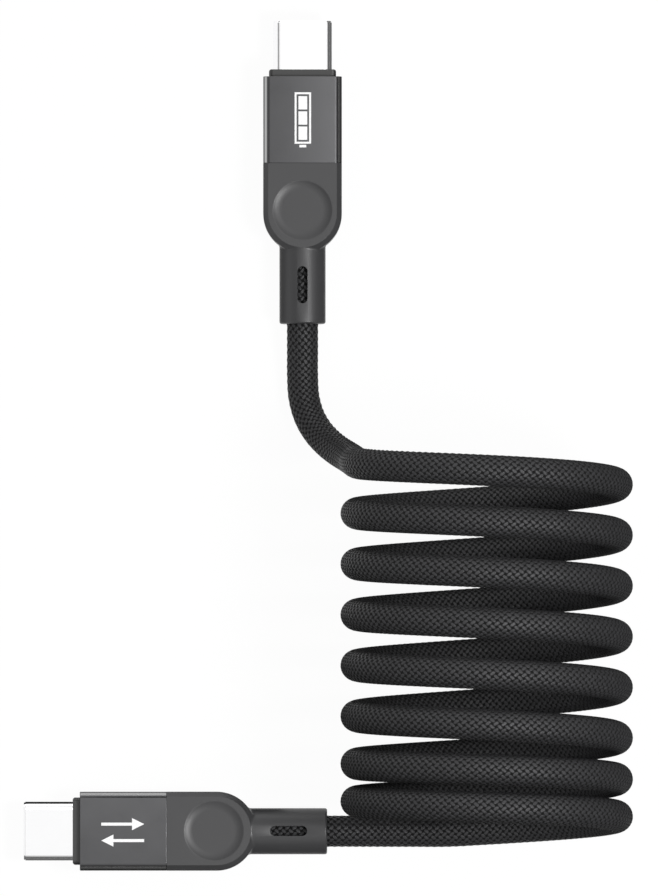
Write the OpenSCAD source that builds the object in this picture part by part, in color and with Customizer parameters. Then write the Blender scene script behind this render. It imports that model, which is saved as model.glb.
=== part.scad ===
// Charging cable with two reversible plugs on one braided cord that keeps itself in a coil.
// The cable lies on a table: the coil on its side, both plugs flat, and the table is z = 0.
// The origin is on the table, under the middle of the box that the two plugs span.

/* [Plug mouth] */
// Width of the steel shell
shell_w = 8.25; // [8.2:0.01:8.3]
// Thickness of the steel shell
shell_t = 2.4; // [2.36:0.01:2.44]
// Sheet of the steel shell
shell_wall = 0.25; // [0.2:0.01:0.28]
// Length of the shell in front of the housing
shell_out = 6.85; // [6.6:0.05:7.1]
// Spacing of the contacts
contact_pitch = 0.5; // [0.48:0.01:0.52]

/* [Plug housing] */
// Width of the housing
plug_w = 11; // [10.8:0.1:11.6]
// Thickness of the housing
plug_t = 6.5; // [6.4:0.1:7]
// Bevel along the long edges of the housing
plug_bevel = 0.7; // [0.5:0.05:0.8]
// Length of the black collar in front of the metal sleeve
collar_out = 1; // [0.8:0.1:1.2]
// Length of the metal sleeve
sleeve_l = 12.15; // [11.8:0.05:12.6]
// Wall of the metal sleeve
sleeve_wall = 0.8; // [0.7:0.05:0.9]
// Length of the moulded grip, as far as the strain relief
grip_l = 11.35; // [11.1:0.05:11.6]
// Radius of the round dimple in the grip
dimple_r = 4.25; // [3.6:0.05:4.4]
// Depth of the round dimple
dimple_depth = 0.3; // [0.2:0.05:0.4]

/* [Strain relief] */
// Diameter of the strain relief
relief_d = 6.46; // [6.2:0.02:6.48]
// Length of the strain relief behind the grip
relief_l = 11.1; // [10.6:0.1:12]
// Width of the slot in the strain relief
slot_w = 1.42; // [1:0.02:1.6]
// Length of the slot in the strain relief
slot_l = 5.2; // [4:0.1:6]

/* [Cord] */
// Diameter of the braided cord
cord_d = 4.4; // [4.2:0.1:4.4]
// Radius of the coil, to the middle of the cord
coil_r = 18.2; // [18:0.1:18.4]
// Length of the coil along its axis, to the middle of its first and last turns
coil_l = 51.3; // [51:0.1:51.6]

/* [Layout on the table] */
// Width of the box that the two plugs span
span_x = 44.5; // [44.3:0.1:44.7]
// Length of the box that the two plugs span
span_y = 119; // [118.8:0.1:119.2]
// Distance of the coil's axis from the middle of that box
coil_x = 42.45; // [42.2:0.05:42.7]

/* [Hidden] */
$fn = 64;

// Overrun of a cutter past the face that it opens
over = 0.05;
// Running clearance of the pieces that slide into each other
fit = 0.04;

// Depths behind the tip of the plug
collar_at = shell_out;
sleeve_at = collar_at + collar_out;
grip_at = sleeve_at + sleeve_l;
relief_at = grip_at + grip_l;
plug_l = relief_at + relief_l;
// Centre of the grip's round end, and of its dimple a little in front of it
round_at = 27;
dimple_at = 26.6;

// Mouth: insulator, contacts and latch
shell_l = 11;
insulator_w = shell_w - 2 * shell_wall - 2 * fit;
insulator_t = shell_t - 2 * shell_wall - 2 * fit;
insulator_at = 0.3;
insulator_end = 10.3;
cavity_w = 6.95;
cavity_t = 0.9;
cavity_end = 6;
contact_t = 0.15;
contact_w = 0.25;
// Height of a contact's straight length, of the bump that wipes the tongue and of the way back
contact_z = 0.62;
bump_z = 0.38;
bump_back_z = 0.55;
contact_tip = 2.5;
bump_at = 3.2;
bump_back = 4;
bump_end = 5;
tail_at = 10.7;
tail_end = 12.4;
channel_at = 2.3;
channel_w = 0.32;
channel_top = 0.8;
bore_t = 0.22;
// Positions that a charging cable of this kind has filled, out of 12
upper_pins = [1, 4, 5, 6, 7, 9, 12];
lower_pins = [1, 4, 5, 9, 12];
latch_t = 0.3;
latch_w = 0.3;
latch_x = 3.57;
hook_reach = 0.27;
latch_window = [0.85, 4.7];
latch_window_at = 3.7;
spring_t = 0.1;
spring_base_t = 0.14;
spring_span = 5.6;
spring_z = 0.85;
spring_window_at = 0.5;
spring_window_end = 2;
spring_window_top = 1;
finger_w = 0.7;
finger_pitch = 1.4;

// Board and what it carries
board_t = 0.8;
board_w = 7.4;
board_at = insulator_end + 0.4;
board_end = 20.6;
parts_at = 14.6;
chip = [3, 2, 0.6];
capacitor = [0.5, 1, 0.5];
capacitor_x = 2.4;

// Housing
housing_w = plug_w - 2 * sleeve_wall;
housing_t = plug_t - 2 * sleeve_wall;
housing_end = grip_at + 1.5;
housing_round = 0.6;
front_wall_end = 8.6;
can_w = 8.6;
can_t = 3.3;
can_sheet = 0.15;
can_round = 0.45;
can_end = housing_end - 0.5;
mould_w = 8;
mould_t = 4;
mould_round = 0.8;
cord_in = 27;

// Wires between the board and the cord
power_wire_d = 1;
signal_wire_d = 0.6;
wire_sides = 8;
wire_at = 18.2;
bend_at = 21.4;
bundle_at = 25.5;
// Where each wire sits on the board, and where it enters the cord
power_wires = [for (s = [-1, 1]) [[2.4 * s, 0.9], [0.75 * s, 0.55]]];
signal_wires = [
    for (s = [-1, 1]) each [[[0.6 * s, -0.7], [0.35 * s, -0.9]], [[1.8 * s, -0.7], [1.1 * s, -0.5]]]
];

// Strain relief
ring_d = 5.2;
ring_end = 30;
relief_bore = cord_d + 0.1;
relief_round = 0.3;
slot_at = relief_at + 5.7;

// Layout: plug a points along +Y and plug b along -X
plug_a_x = span_x / 2 - plug_w / 2;
plug_a_y = span_y / 2;
plug_b_x = -span_x / 2;
plug_b_y = -span_y / 2 + plug_w / 2;
coil_outer = coil_r + cord_d / 2;
coil_start = -2.6;

// Routes of the two leads, from inside the plug to the coil
lead_a_route = [
    [plug_a_x, 32.5, 3.25], [plug_a_x, 24, 3.25], [plug_a_x, 17, 3.25], [plug_a_x, 13, 2.75],
    [plug_a_x, 10, 2.3], [17, 6.5, 2.3], [17.75, 4, 2.8], [18.9, 2, 3.9], [20.3, 0.4, 5.7],
    [21.7, -0.8, 8.2], [23, -1.7, 11.4], [23.9, -2.4, 15.5], [24.25, -2.8, 20.4]
];
lead_b_route = [
    [4.75, plug_b_y, 3.25], [12, plug_b_y, 3.25], [20.3, plug_b_y, 3.25], [24, plug_b_y, 2.9],
    [28, plug_b_y, 2.3], [32, plug_b_y, 2.2], [37, plug_b_y, 2.2], [42, plug_b_y, 2.2]
];

steel = "#c9c9cc";
gold = "#c8a04a";
gunmetal = "#69696b";
soft_grey = "#58575a";
black = "#26262a";
charcoal = "#343436";
board_green = "#1f5138";
copper = "#b87743";

// Points of a quarter circle of radius r around the centre c, starting at the angle a
function corner(c, r, a) = [for (t = [0:15:90]) c + r * [cos(a + t), sin(a + t)]];
// Outline of a bent strip of thickness t along the points p
function strip(p, t) = concat(
    [for (q = p) q + [0, t / 2]],
    [for (i = [len(p) - 1:-1:0]) p[i] - [0, t / 2]]
);
// Place of the contact number n, counted from 1 across the mouth
function contact_x(n) = (n - 6.5) * contact_pitch;
function unit(v) = v / norm(v);

// Flat outlines across the plug
module pill(w, t) {
    square([w - t, t], center = true);
    for (s = [-1, 1])
        translate([s * (w - t) / 2, 0]) circle(d = t);
}

module rounded(w, t, r) {
    square([w - 2 * r, t], center = true);
    square([w, t - 2 * r], center = true);
    for (x = [-1, 1], y = [-1, 1])
        translate([x * (w / 2 - r), y * (t / 2 - r)]) circle(r = r);
}

module bevelled(w, t, c) {
    polygon([
        [c - w / 2, -t / 2], [w / 2 - c, -t / 2], [w / 2, c - t / 2], [w / 2, t / 2 - c],
        [w / 2 - c, t / 2], [c - w / 2, t / 2], [-w / 2, t / 2 - c], [-w / 2, c - t / 2]
    ]);
}

// Pulls an outline from one depth behind the tip of the plug to another
module run(from, to) {
    translate([0, -from, 0]) rotate([90, 0, 0]) linear_extrude(to - from) children();
}

// Turns an outline, drawn as [radius, depth], around the middle line of the plug
module turned() {
    rotate([90, 0, 0]) rotate_extrude() children();
}

// Stands an outline, drawn as [depth, height], upright across the plug at x
module upright(x, w) {
    translate([x + w / 2, 0, 0]) rotate([0, 0, -90]) rotate([90, 0, 0]) linear_extrude(w) children();
}

// Turns a piece over, to the lower face of the plug, when side is -1
module on_side(side) {
    rotate([0, side < 0 ? 180 : 0, 0]) children();
}

module plug_shell() {
    lip = 0.2;
    color(steel) difference() {
        union() {
            run(lip, shell_l) pill(shell_w, shell_t);
            run(0, lip + over) pill(shell_w - lip, shell_t - lip);
        }
        run(-over, shell_l + over) pill(shell_w - 2 * shell_wall, shell_t - 2 * shell_wall);
    }
}

module insulator() {
    color(black) difference() {
        run(insulator_at, insulator_end) pill(insulator_w, insulator_t);
        run(insulator_at - over, cavity_end) square([cavity_w, cavity_t], center = true);
        for (side = [-1, 1])
            on_side(side) {
                for (n = [1:12])
                    contact_channel(contact_x(n));
                spring_window();
                latch_slot();
            }
        run(cavity_end - over, insulator_end + over)
            square([2 * latch_x + latch_w, latch_t], center = true);
    }
}

// Open channel along the cavity, and the bore behind it
module contact_channel(x) {
    low = cavity_t / 2 - over;
    end = insulator_end + over;
    bore = [contact_z - bore_t / 2, contact_z + bore_t / 2];
    upright(x, channel_w) polygon([
        [channel_at, low], [cavity_end, low], [cavity_end, bore[0]], [end, bore[0]],
        [end, bore[1]], [cavity_end, bore[1]], [cavity_end, channel_top], [channel_at, channel_top]
    ]);
}

module spring_window() {
    low = cavity_t / 2 - over;
    upright(0, spring_span + 2 * over) polygon([
        [spring_window_at, low], [spring_window_end, low],
        [spring_window_end, spring_window_top], [spring_window_at, spring_window_top]
    ]);
}

// Room for one hook of the latch plate to bend into
module latch_slot() {
    translate([latch_x + over / 2, -latch_window_at, 0])
        cube([latch_window.x, latch_window.y, latch_t + 2 * over], center = true);
}

module contact_row(pins, side) {
    tail_z = (board_t + contact_t) / 2;
    line = [
        [contact_tip, contact_z], [bump_at, bump_z], [bump_back, bump_back_z], [bump_end, contact_z],
        [insulator_end, contact_z], [tail_at, tail_z], [tail_end, tail_z]
    ];
    color(gold) on_side(side)
        for (n = pins)
            upright(contact_x(n), contact_w) polygon(strip(line, contact_t));
}

// Sprung plate between the two rows, with a hook on each side of the mouth
module latch_plate() {
    inner = latch_x - latch_w / 2;
    outer = latch_x + latch_w / 2;
    hook = inner - hook_reach;
    tip_at = 1.7;
    hook_at = 2.8;
    hook_end = 3.1;
    hook_root = 3.5;
    web_at = cavity_end + 0.3;
    half = [
        [outer, -insulator_end], [outer, -tip_at], [inner, -tip_at], [hook, -hook_at],
        [hook, -hook_end], [inner, -hook_root], [inner, -web_at]
    ];
    color(steel) translate([0, 0, -latch_t / 2]) linear_extrude(latch_t)
        polygon(concat(half, [for (i = [len(half) - 1:-1:0]) [-half[i].x, half[i].y]]));
}

// Two sprung ground strips behind the lip of the mouth, each with four fingers
module ground_springs() {
    base = [[spring_window_at + fit / 2, spring_z], [0.9, spring_z]];
    finger = [[0.7, spring_z], [0.95, spring_z], [1.6, 0.44], [1.9, 0.5]];
    color(steel) for (side = [-1, 1])
        on_side(side) {
            upright(0, spring_span) polygon(strip(base, spring_base_t));
            for (i = [-1.5:1.5])
                upright(finger_pitch * i, finger_w) polygon(strip(finger, spring_t));
        }
}

module circuit_board() {
    color(board_green) run(board_at, board_end) square([board_w, board_t], center = true);
}

// Chip that tells the charger what the cable can carry
module power_chip() {
    color(black) translate([0, -parts_at, (board_t + chip.z) / 2]) cube(chip, center = true);
}

module board_capacitors() {
    color("#8d7a5e") for (x = [-1, 1])
        translate([capacitor_x * x, -parts_at, (board_t + capacitor.z) / 2]) cube(capacitor, center = true);
}

module shield_can() {
    color(steel) difference() {
        run(front_wall_end, can_end) rounded(can_w, can_t, can_round);
        run(front_wall_end - over, can_end + over) can_inside();
    }
}

module can_inside() {
    rounded(can_w - 2 * can_sheet, can_t - 2 * can_sheet, can_round - can_sheet);
}

// Black inner housing: its front end is the collar, and its back end sits in the grip
module inner_housing() {
    color(black) difference() {
        intersection() {
            run(collar_at, housing_end) rounded(housing_w, housing_t, housing_round);
            collar_outline(housing_w);
        }
        run(collar_at - over, housing_end) pill(shell_w + 2 * fit, shell_t + 2 * fit);
        run(front_wall_end, housing_end + over) rounded(can_w + 2 * fit, can_t + 2 * fit, can_round);
    }
}

// Outline of the collar from above, with its rounded front corners
module collar_outline(w) {
    r = 0.35;
    translate([0, 0, -plug_t]) linear_extrude(2 * plug_t) polygon(concat(
        corner([w / 2 - r, -collar_at - r], r, 0),
        corner([r - w / 2, -collar_at - r], r, 90),
        [[-w / 2, -housing_end - over], [w / 2, -housing_end - over]]
    ));
}

// Outline of the hole that the inner housing slides into
module housing_bore() {
    rounded(housing_w + 2 * fit, housing_t + 2 * fit, housing_round);
}

module metal_sleeve() {
    color(gunmetal) difference() {
        run(sleeve_at, grip_at) bevelled(plug_w, plug_t, plug_bevel);
        run(sleeve_at - over, grip_at + over) housing_bore();
    }
}

// Moulded grip: bevelled body, round end and slotted strain relief in one piece
module grip_body() {
    color(soft_grey) difference() {
        union() {
            run(grip_at, round_at) bevelled(plug_w, plug_t, plug_bevel);
            translate([0, -round_at, 0]) round_end();
            turned() relief_outline();
        }
        for (side = [-1, 1])
            translate([0, -dimple_at, 0]) dimple(side);
        run(grip_at - over, housing_end) housing_bore();
        run(housing_end - over, cord_in) rounded(mould_w, mould_t, mould_round);
        run(cord_in - over, ring_end) circle(d = ring_d);
        run(ring_end - over, plug_l + over) circle(d = relief_bore);
        relief_slot();
    }
}

module round_end() {
    r = plug_w / 2;
    h = plug_t / 2;
    rotate_extrude($fn = 96) polygon([
        [0, -h], [r - plug_bevel, -h], [r, plug_bevel - h],
        [r, h - plug_bevel], [r - plug_bevel, h], [0, h]
    ]);
}

// Outline of the strain relief, with the small round at its end
module relief_outline() {
    r = relief_d / 2;
    rim = relief_round;
    polygon(concat(
        [[0, round_at], [r, round_at]],
        corner([r - rim, plug_l - rim], rim, 0),
        [[0, plug_l]]
    ));
}

// Cutter of the dimple: a flat floor and a soft rim that rises to the face
module dimple(side) {
    rim_w = 1.3;
    rim_r = (rim_w * rim_w + dimple_depth * dimple_depth) / (2 * dimple_depth);
    sweep = asin(rim_w / rim_r);
    floor_z = plug_t / 2 - dimple_depth;
    rim = [for (t = [0:1 / 6:1]) [sin(sweep * t), 1 - cos(sweep * t)] * rim_r];
    mirror([0, 0, side < 0 ? 1 : 0]) rotate_extrude($fn = 96) polygon(concat(
        [[0, floor_z]],
        [for (p = rim) [dimple_r - rim_w, floor_z] + p],
        [[dimple_r, plug_t], [0, plug_t]]
    ));
}

// Round-ended slot through the top and the bottom of the strain relief
module relief_slot() {
    translate([0, -slot_at, -plug_t]) linear_extrude(2 * plug_t) rotate([0, 0, 90]) pill(slot_l, slot_w);
}

module wires(list, d) {
    for (w = list)
        tube([
            [w[0].x, -wire_at, w[0].y], [w[0].x, -bend_at, w[0].y],
            [w[1].x, -bundle_at, w[1].y], [w[1].x, -cord_in, w[1].y]
        ], d, [1, 0, 0], wire_sides);
}

module power_wires_pair() {
    color("#a33a32") wires(power_wires, power_wire_d);
}

module signal_wires_set() {
    color("#d8d8d4") wires(signal_wires, signal_wire_d);
}

// Filling that holds the board, the wires and the back of the shell
module inner_mould(has_chip) {
    color("#b9b6ac") difference() {
        union() {
            run(shell_l, housing_end) can_inside();
            run(housing_end, cord_in) rounded(mould_w, mould_t, mould_round);
        }
        circuit_board();
        board_capacitors();
        if (has_chip)
            power_chip();
        contact_row(upper_pins, 1);
        contact_row(lower_pins, -1);
        wires(power_wires, power_wire_d);
        wires(signal_wires, signal_wire_d);
    }
}

module crimp_ring() {
    color(copper) run(cord_in, ring_end) difference() {
        circle(d = ring_d);
        circle(d = cord_d + fit);
    }
}

// Sweeps a round tube along a route; side is a direction that the route never follows
module tube(route, d, side, sides = 12) {
    last = len(route) - 1;
    rings = [for (i = [0:last])
        let (
            along = unit(route[min(i + 1, last)] - route[max(i - 1, 0)]),
            u = unit(cross(along, side)),
            v = cross(along, u)
        )
        for (k = [0:sides - 1]) route[i] + d / 2 * (u * cos(360 * k / sides) + v * sin(360 * k / sides))];
    polyhedron(points = rings, faces = concat(
        [[for (k = [0:sides - 1]) k]],
        [[for (k = [sides - 1:-1:0]) last * sides + k]],
        [for (i = [0:last - 1], k = [0:sides - 1])
            let (a = i * sides + k, b = i * sides + (k + 1) % sides)
            each [[a, a + sides, b], [b, a + sides, b + sides]]]
    ));
}

module cord_lead_a() {
    color(charcoal) tube(lead_a_route, cord_d, [1, 0, 0]);
}

module cord_lead_b() {
    color(charcoal) tube(lead_b_route, cord_d, [0, 1, 0]);
}

// Outer shape of the wound turns: a ring with round ends, lying on its side
module cord_coil() {
    r = cord_d / 2;
    color(charcoal) translate([coil_x, coil_start, coil_outer]) rotate([90, 0, 0]) rotate_extrude() {
        translate([coil_r - r, 0]) square([2 * r, coil_l]);
        for (y = [0, coil_l])
            translate([coil_r, y]) circle(r = r);
    }
}

module at_plug_a() {
    translate([plug_a_x, plug_a_y, plug_t / 2]) children();
}

module at_plug_b() {
    translate([plug_b_x, plug_b_y, plug_t / 2]) rotate([0, 0, 90]) children();
}

at_plug_a() plug_shell();  // plug_shell_a
at_plug_b() plug_shell();  // plug_shell_b
at_plug_a() insulator();  // insulator_a
at_plug_b() insulator();  // insulator_b
at_plug_a() contact_row(upper_pins, 1);  // contacts_upper_a
at_plug_b() contact_row(upper_pins, 1);  // contacts_upper_b
at_plug_a() contact_row(lower_pins, -1);  // contacts_lower_a
at_plug_b() contact_row(lower_pins, -1);  // contacts_lower_b
at_plug_a() latch_plate();  // latch_plate_a
at_plug_b() latch_plate();  // latch_plate_b
at_plug_a() ground_springs();  // ground_springs_a
at_plug_b() ground_springs();  // ground_springs_b
at_plug_a() circuit_board();  // circuit_board_a
at_plug_b() circuit_board();  // circuit_board_b
at_plug_a() power_chip();  // power_chip_a
at_plug_a() board_capacitors();  // board_capacitors_a
at_plug_b() board_capacitors();  // board_capacitors_b
at_plug_a() shield_can();  // shield_can_a
at_plug_b() shield_can();  // shield_can_b
at_plug_a() inner_housing();  // inner_housing_a
at_plug_b() inner_housing();  // inner_housing_b
at_plug_a() metal_sleeve();  // metal_sleeve_a
at_plug_b() metal_sleeve();  // metal_sleeve_b
at_plug_a() grip_body();  // grip_body_a
at_plug_b() grip_body();  // grip_body_b
at_plug_a() inner_mould(true);  // inner_mould_a
at_plug_b() inner_mould(false);  // inner_mould_b
at_plug_a() power_wires_pair();  // power_wires_a
at_plug_b() power_wires_pair();  // power_wires_b
at_plug_a() signal_wires_set();  // signal_wires_a
at_plug_b() signal_wires_set();  // signal_wires_b
at_plug_a() crimp_ring();  // crimp_ring_a
at_plug_b() crimp_ring();  // crimp_ring_b
cord_lead_a();
cord_coil();
cord_lead_b();
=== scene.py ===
"""Looks of a coiled charging cable: its braided cord, its two plugs and the studio around it."""

import logging
import math
from dataclasses import dataclass, field
from enum import Enum
from typing import Any, Callable, Iterable, Sequence

import bmesh
import bpy
from mathutils import Matrix, Vector


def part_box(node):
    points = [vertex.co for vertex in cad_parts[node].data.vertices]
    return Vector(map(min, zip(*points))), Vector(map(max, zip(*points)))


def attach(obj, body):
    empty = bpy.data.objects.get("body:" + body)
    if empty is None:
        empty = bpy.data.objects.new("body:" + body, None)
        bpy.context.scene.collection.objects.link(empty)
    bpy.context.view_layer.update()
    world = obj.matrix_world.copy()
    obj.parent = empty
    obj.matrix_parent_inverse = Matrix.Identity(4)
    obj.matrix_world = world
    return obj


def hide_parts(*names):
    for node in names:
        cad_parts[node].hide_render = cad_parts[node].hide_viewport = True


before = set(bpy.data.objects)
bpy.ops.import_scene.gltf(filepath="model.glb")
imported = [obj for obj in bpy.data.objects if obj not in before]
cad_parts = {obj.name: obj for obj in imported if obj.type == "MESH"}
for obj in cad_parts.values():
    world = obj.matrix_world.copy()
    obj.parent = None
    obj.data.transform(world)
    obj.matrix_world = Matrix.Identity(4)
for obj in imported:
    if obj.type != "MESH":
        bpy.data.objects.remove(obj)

log = logging.getLogger("cable")

MM = 0.001
BODY = "root"
WELD = 0.0005 * MM              # corners closer than this are one
FLAT = math.radians(0.3)        # faces that turn less than this are one
CREASE = math.radians(40)       # edges that turn more than this stay sharp
Colour = tuple[float, float, float, float]
Outline = tuple[tuple[float, float], ...]


def grey(level: float, tint: float = 0.0) -> Colour:
    """Returns a grey of the given linear level, a little bluer for a positive tint."""
    return (level * (1 - tint), level * (1 - tint), level * (1 + tint), 1.0)


def faded(colour: Colour, share: float) -> Colour:
    """Returns a colour of which only a share is left."""
    return (*(level * share for level in colour[:3]), 1.0)


class Field:
    """A value that varies over a surface, with Python operators for the maths on it."""

    def __init__(self, tree: "Tree", socket: bpy.types.NodeSocket) -> None:
        """Wraps an output socket of a tree.

        Args:
            tree: the tree that the socket belongs to.
            socket: the output socket.
        """
        self.tree = tree
        self.socket = socket

    def __add__(self, other: Any) -> "Field":
        """Adds a value."""
        return self.tree.math("ADD", self, other)

    __radd__ = __add__

    def __sub__(self, other: Any) -> "Field":
        """Takes a value away."""
        return self.tree.math("SUBTRACT", self, other)

    def __rsub__(self, other: Any) -> "Field":
        """Takes this field away from a value."""
        return self.tree.math("SUBTRACT", other, self)

    def __mul__(self, other: Any) -> "Field":
        """Multiplies by a value."""
        return self.tree.math("MULTIPLY", self, other)

    __rmul__ = __mul__

    def __truediv__(self, other: Any) -> "Field":
        """Divides by a value."""
        return self.tree.math("DIVIDE", self, other)

    def __mod__(self, other: Any) -> "Field":
        """Returns what is left of this field past whole multiples of a value."""
        return self.tree.math("FLOORED_MODULO", self, other)

    def __abs__(self) -> "Field":
        """Drops the sign."""
        return self.tree.math("ABSOLUTE", self)

    def floor(self) -> "Field":
        """Rounds down."""
        return self.tree.math("FLOOR", self)

    def sine(self) -> "Field":
        """Takes the sine."""
        return self.tree.math("SINE", self)

    def rise(self, low: float, high: float) -> "Field":
        """Rises smoothly from 0 at low to 1 at high."""
        return self.tree.field("ShaderNodeMapRange", {"interpolation_type": "SMOOTHSTEP"},
                               {"Value": self, "From Min": low, "From Max": high})

    def part(self, axis: int) -> "Field":
        """Returns one component of a vector field, 0 to 2."""
        return self.tree.field("ShaderNodeSeparateXYZ", {}, {0: self}, output=axis)


class Tree:
    """A node tree that is built by calls, for a material or for geometry."""

    def __init__(self, tree: bpy.types.NodeTree) -> None:
        """Takes an empty node tree."""
        self.tree = tree

    def node(self, kind: str, settings: dict[str, Any] | None = None,
             inputs: dict[int | str, Any] | None = None) -> bpy.types.Node:
        """Adds a node.

        Args:
            kind: the node's type.
            settings: the node's own properties, which are set first.
            inputs: for each input socket, a value, a socket or a Field.

        Returns:
            The new node.
        """
        node = self.tree.nodes.new(kind)
        for name, value in (settings or {}).items():
            setattr(node, name, value)
        for key, value in (inputs or {}).items():
            if isinstance(value, Field):
                value = value.socket
            if isinstance(value, bpy.types.NodeSocket):
                self.tree.links.new(value, node.inputs[key])
            else:
                node.inputs[key].default_value = value
        return node

    def field(self, kind: str, settings: dict[str, Any] | None = None,
              inputs: dict[int | str, Any] | None = None, output: int | str = 0) -> Field:
        """Adds a node and returns one of its outputs as a Field."""
        return Field(self, self.node(kind, settings, inputs).outputs[output])

    def math(self, operation: str, *values: Any) -> Field:
        """Adds a Math node for the operation on the values."""
        return self.field("ShaderNodeMath", {"operation": operation}, dict(enumerate(values)))

    def mix(self, factor: Any, first: Any, second: Any) -> Field:
        """Mixes two colours; the factor is 0 for the first."""
        return self.field("ShaderNodeMix", {"data_type": "RGBA"},
                          {0: factor, 6: first, 7: second}, output=2)


class Surface(Tree):
    """The node tree of one material."""

    def __init__(self, name: str) -> None:
        """Makes an empty material.

        Args:
            name: the material's name.
        """
        self.material = bpy.data.materials.new(name)
        self.material.use_nodes = True
        super().__init__(self.material.node_tree)
        self.tree.nodes.clear()

    def place(self) -> Field:
        """Returns the place on the piece, in metres."""
        return self.field("ShaderNodeTexCoord", output="Object")

    def stored(self, name: str, output: str = "Fac") -> Field:
        """Returns a value that is stored on the mesh under a name."""
        return self.field("ShaderNodeAttribute", {"attribute_name": name}, output=output)

    def noise(self, size: float, detail: float = 3.0, stretch: Sequence[float] = (1, 1, 1)) -> Field:
        """Returns a noise field.

        Args:
            size: the width of its features, in metres.
            detail: how many finer layers it has.
            stretch: its scale along X, Y and Z.

        Returns:
            The noise, from 0 to 1.
        """
        where = self.field("ShaderNodeMapping", {}, {"Vector": self.place(), "Scale": stretch})
        return self.field("ShaderNodeTexNoise", {},
                          {"Vector": where, "Scale": 1 / size, "Detail": detail})

    def bump(self, height: Field, depth: float, strength: float = 1.0,
             under: Field | None = None) -> Field:
        """Turns a height into a normal.

        Args:
            height: the height, from 0 to 1.
            depth: the depth of the relief, in metres.
            strength: how strongly it shows.
            under: the normal that it is laid over, if any.

        Returns:
            The normal.
        """
        inputs = {"Height": height, "Distance": depth, "Strength": strength}
        if under is not None:
            inputs["Normal"] = under
        return self.field("ShaderNodeBump", {}, inputs)

    def close(self, inputs: dict[str, Any]) -> bpy.types.Material:
        """Ends the material with a Principled shader.

        Args:
            inputs: the shader's inputs by name.

        Returns:
            The material.
        """
        shader = self.node("ShaderNodeBsdfPrincipled", {}, inputs)
        self.node("ShaderNodeOutputMaterial", {}, {"Surface": shader.outputs[0]})
        return self.material


@dataclass(frozen=True)
class Metal:
    """A metal finish: blasted, drawn or stamped.

    Attributes:
        name: the material's name.
        colour: the colour of its reflection.
        roughness: the mean roughness.
        grain: the width of its grain, in metres.
        relief: the depth of the grain, in metres.
        stretch: the grain's scale along each axis; unequal for a drawn or brushed metal.
        stain: how much the colour varies in broad soft patches.
        patch: the width of those patches, in metres.
        patch_share: the share of the patches in that variation; the grain has the rest.
        uneven: how much the grain and the patches change the roughness.
        polish: the level of its polished chamfers, or 0 where it has none.
        smoothing: how much less rough the polished chamfers are.
        crown: how far its wide faces bulge in the middle, in metres.
    """

    CUT = "cut"
    ACROSS = "across"

    name: str
    colour: Colour
    roughness: float
    grain: float = 0.06 * MM
    relief: float = 0.0006 * MM
    stretch: tuple[float, float, float] = (1, 1, 1)
    stain: float = 0.06
    patch: float = 3 * MM
    patch_share: float = 0.7
    uneven: tuple[float, float] = (0.12, 0.08)
    polish: float = 0.0
    smoothing: float = 0.6
    crown: float = 0.0

    def build(self) -> bpy.types.Material:
        """Makes the material.

        Returns:
            The material.
        """
        surface = Surface(self.name)
        grain = surface.noise(self.grain, detail=4, stretch=self.stretch)
        patches = surface.noise(self.patch, detail=2)
        share = patches * self.patch_share + grain * (1 - self.patch_share)
        colour = surface.mix(share, faded(self.colour, 1 - 2 * self.stain), self.colour)
        by_grain, by_patch = self.uneven
        rough = self.roughness + (grain - 0.5) * by_grain + (patches - 0.5) * by_patch
        under = None
        if self.polish:
            cut = surface.stored(self.CUT)
            colour = surface.mix(cut, colour, grey(self.polish))
            rough = rough * (1 - cut * self.smoothing)
        if self.crown:
            across = surface.stored(self.ACROSS)
            under = surface.bump(1 - across * across, self.crown)
        return surface.close({
            "Base Color": colour,
            "Metallic": 1.0,
            "Roughness": rough,
            "Normal": surface.bump(grain, self.relief, under=under),
        })


@dataclass(frozen=True)
class Moulding:
    """A moulded plastic with the fine spark texture of its mould.

    Attributes:
        name: the material's name.
        colour: its colour.
        roughness: the mean roughness.
        specular: the strength of its gloss.
        grain: the width of the spark texture, in metres.
        relief: the depth of the spark texture, in metres.
        softness: how much light goes into it, from 0 to 1.
        reach: how far that light goes, in metres.
        flow: the width of the soft patches that the flow of the plastic left, in metres.
        flow_share: the share of the patches in the colour's variation.
        faint: the share of the colour that its dullest spots have.
        uneven: how much the spark texture and the patches change the roughness.
    """

    name: str
    colour: Colour
    roughness: float
    specular: float = 0.5
    grain: float = 0.09 * MM
    relief: float = 0.002 * MM
    softness: float = 0.0
    reach: float = 0.5 * MM
    flow: float = 5 * MM
    flow_share: float = 0.6
    faint: float = 0.9
    uneven: tuple[float, float] = (0.14, 0.06)

    def build(self) -> bpy.types.Material:
        """Makes the material.

        Returns:
            The material.
        """
        surface = Surface(self.name)
        spark = surface.noise(self.grain, detail=2)
        flow = surface.noise(self.flow)
        share = flow * self.flow_share + spark * (1 - self.flow_share)
        by_spark, by_flow = self.uneven
        return surface.close({
            "Base Color": surface.mix(share, faded(self.colour, self.faint), self.colour),
            "Roughness": self.roughness + (spark - 0.5) * by_spark + (flow - 0.5) * by_flow,
            "Specular IOR Level": self.specular,
            "Subsurface Weight": self.softness,
            "Subsurface Scale": self.reach,
            "Normal": surface.bump(spark, self.relief),
        })


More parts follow.
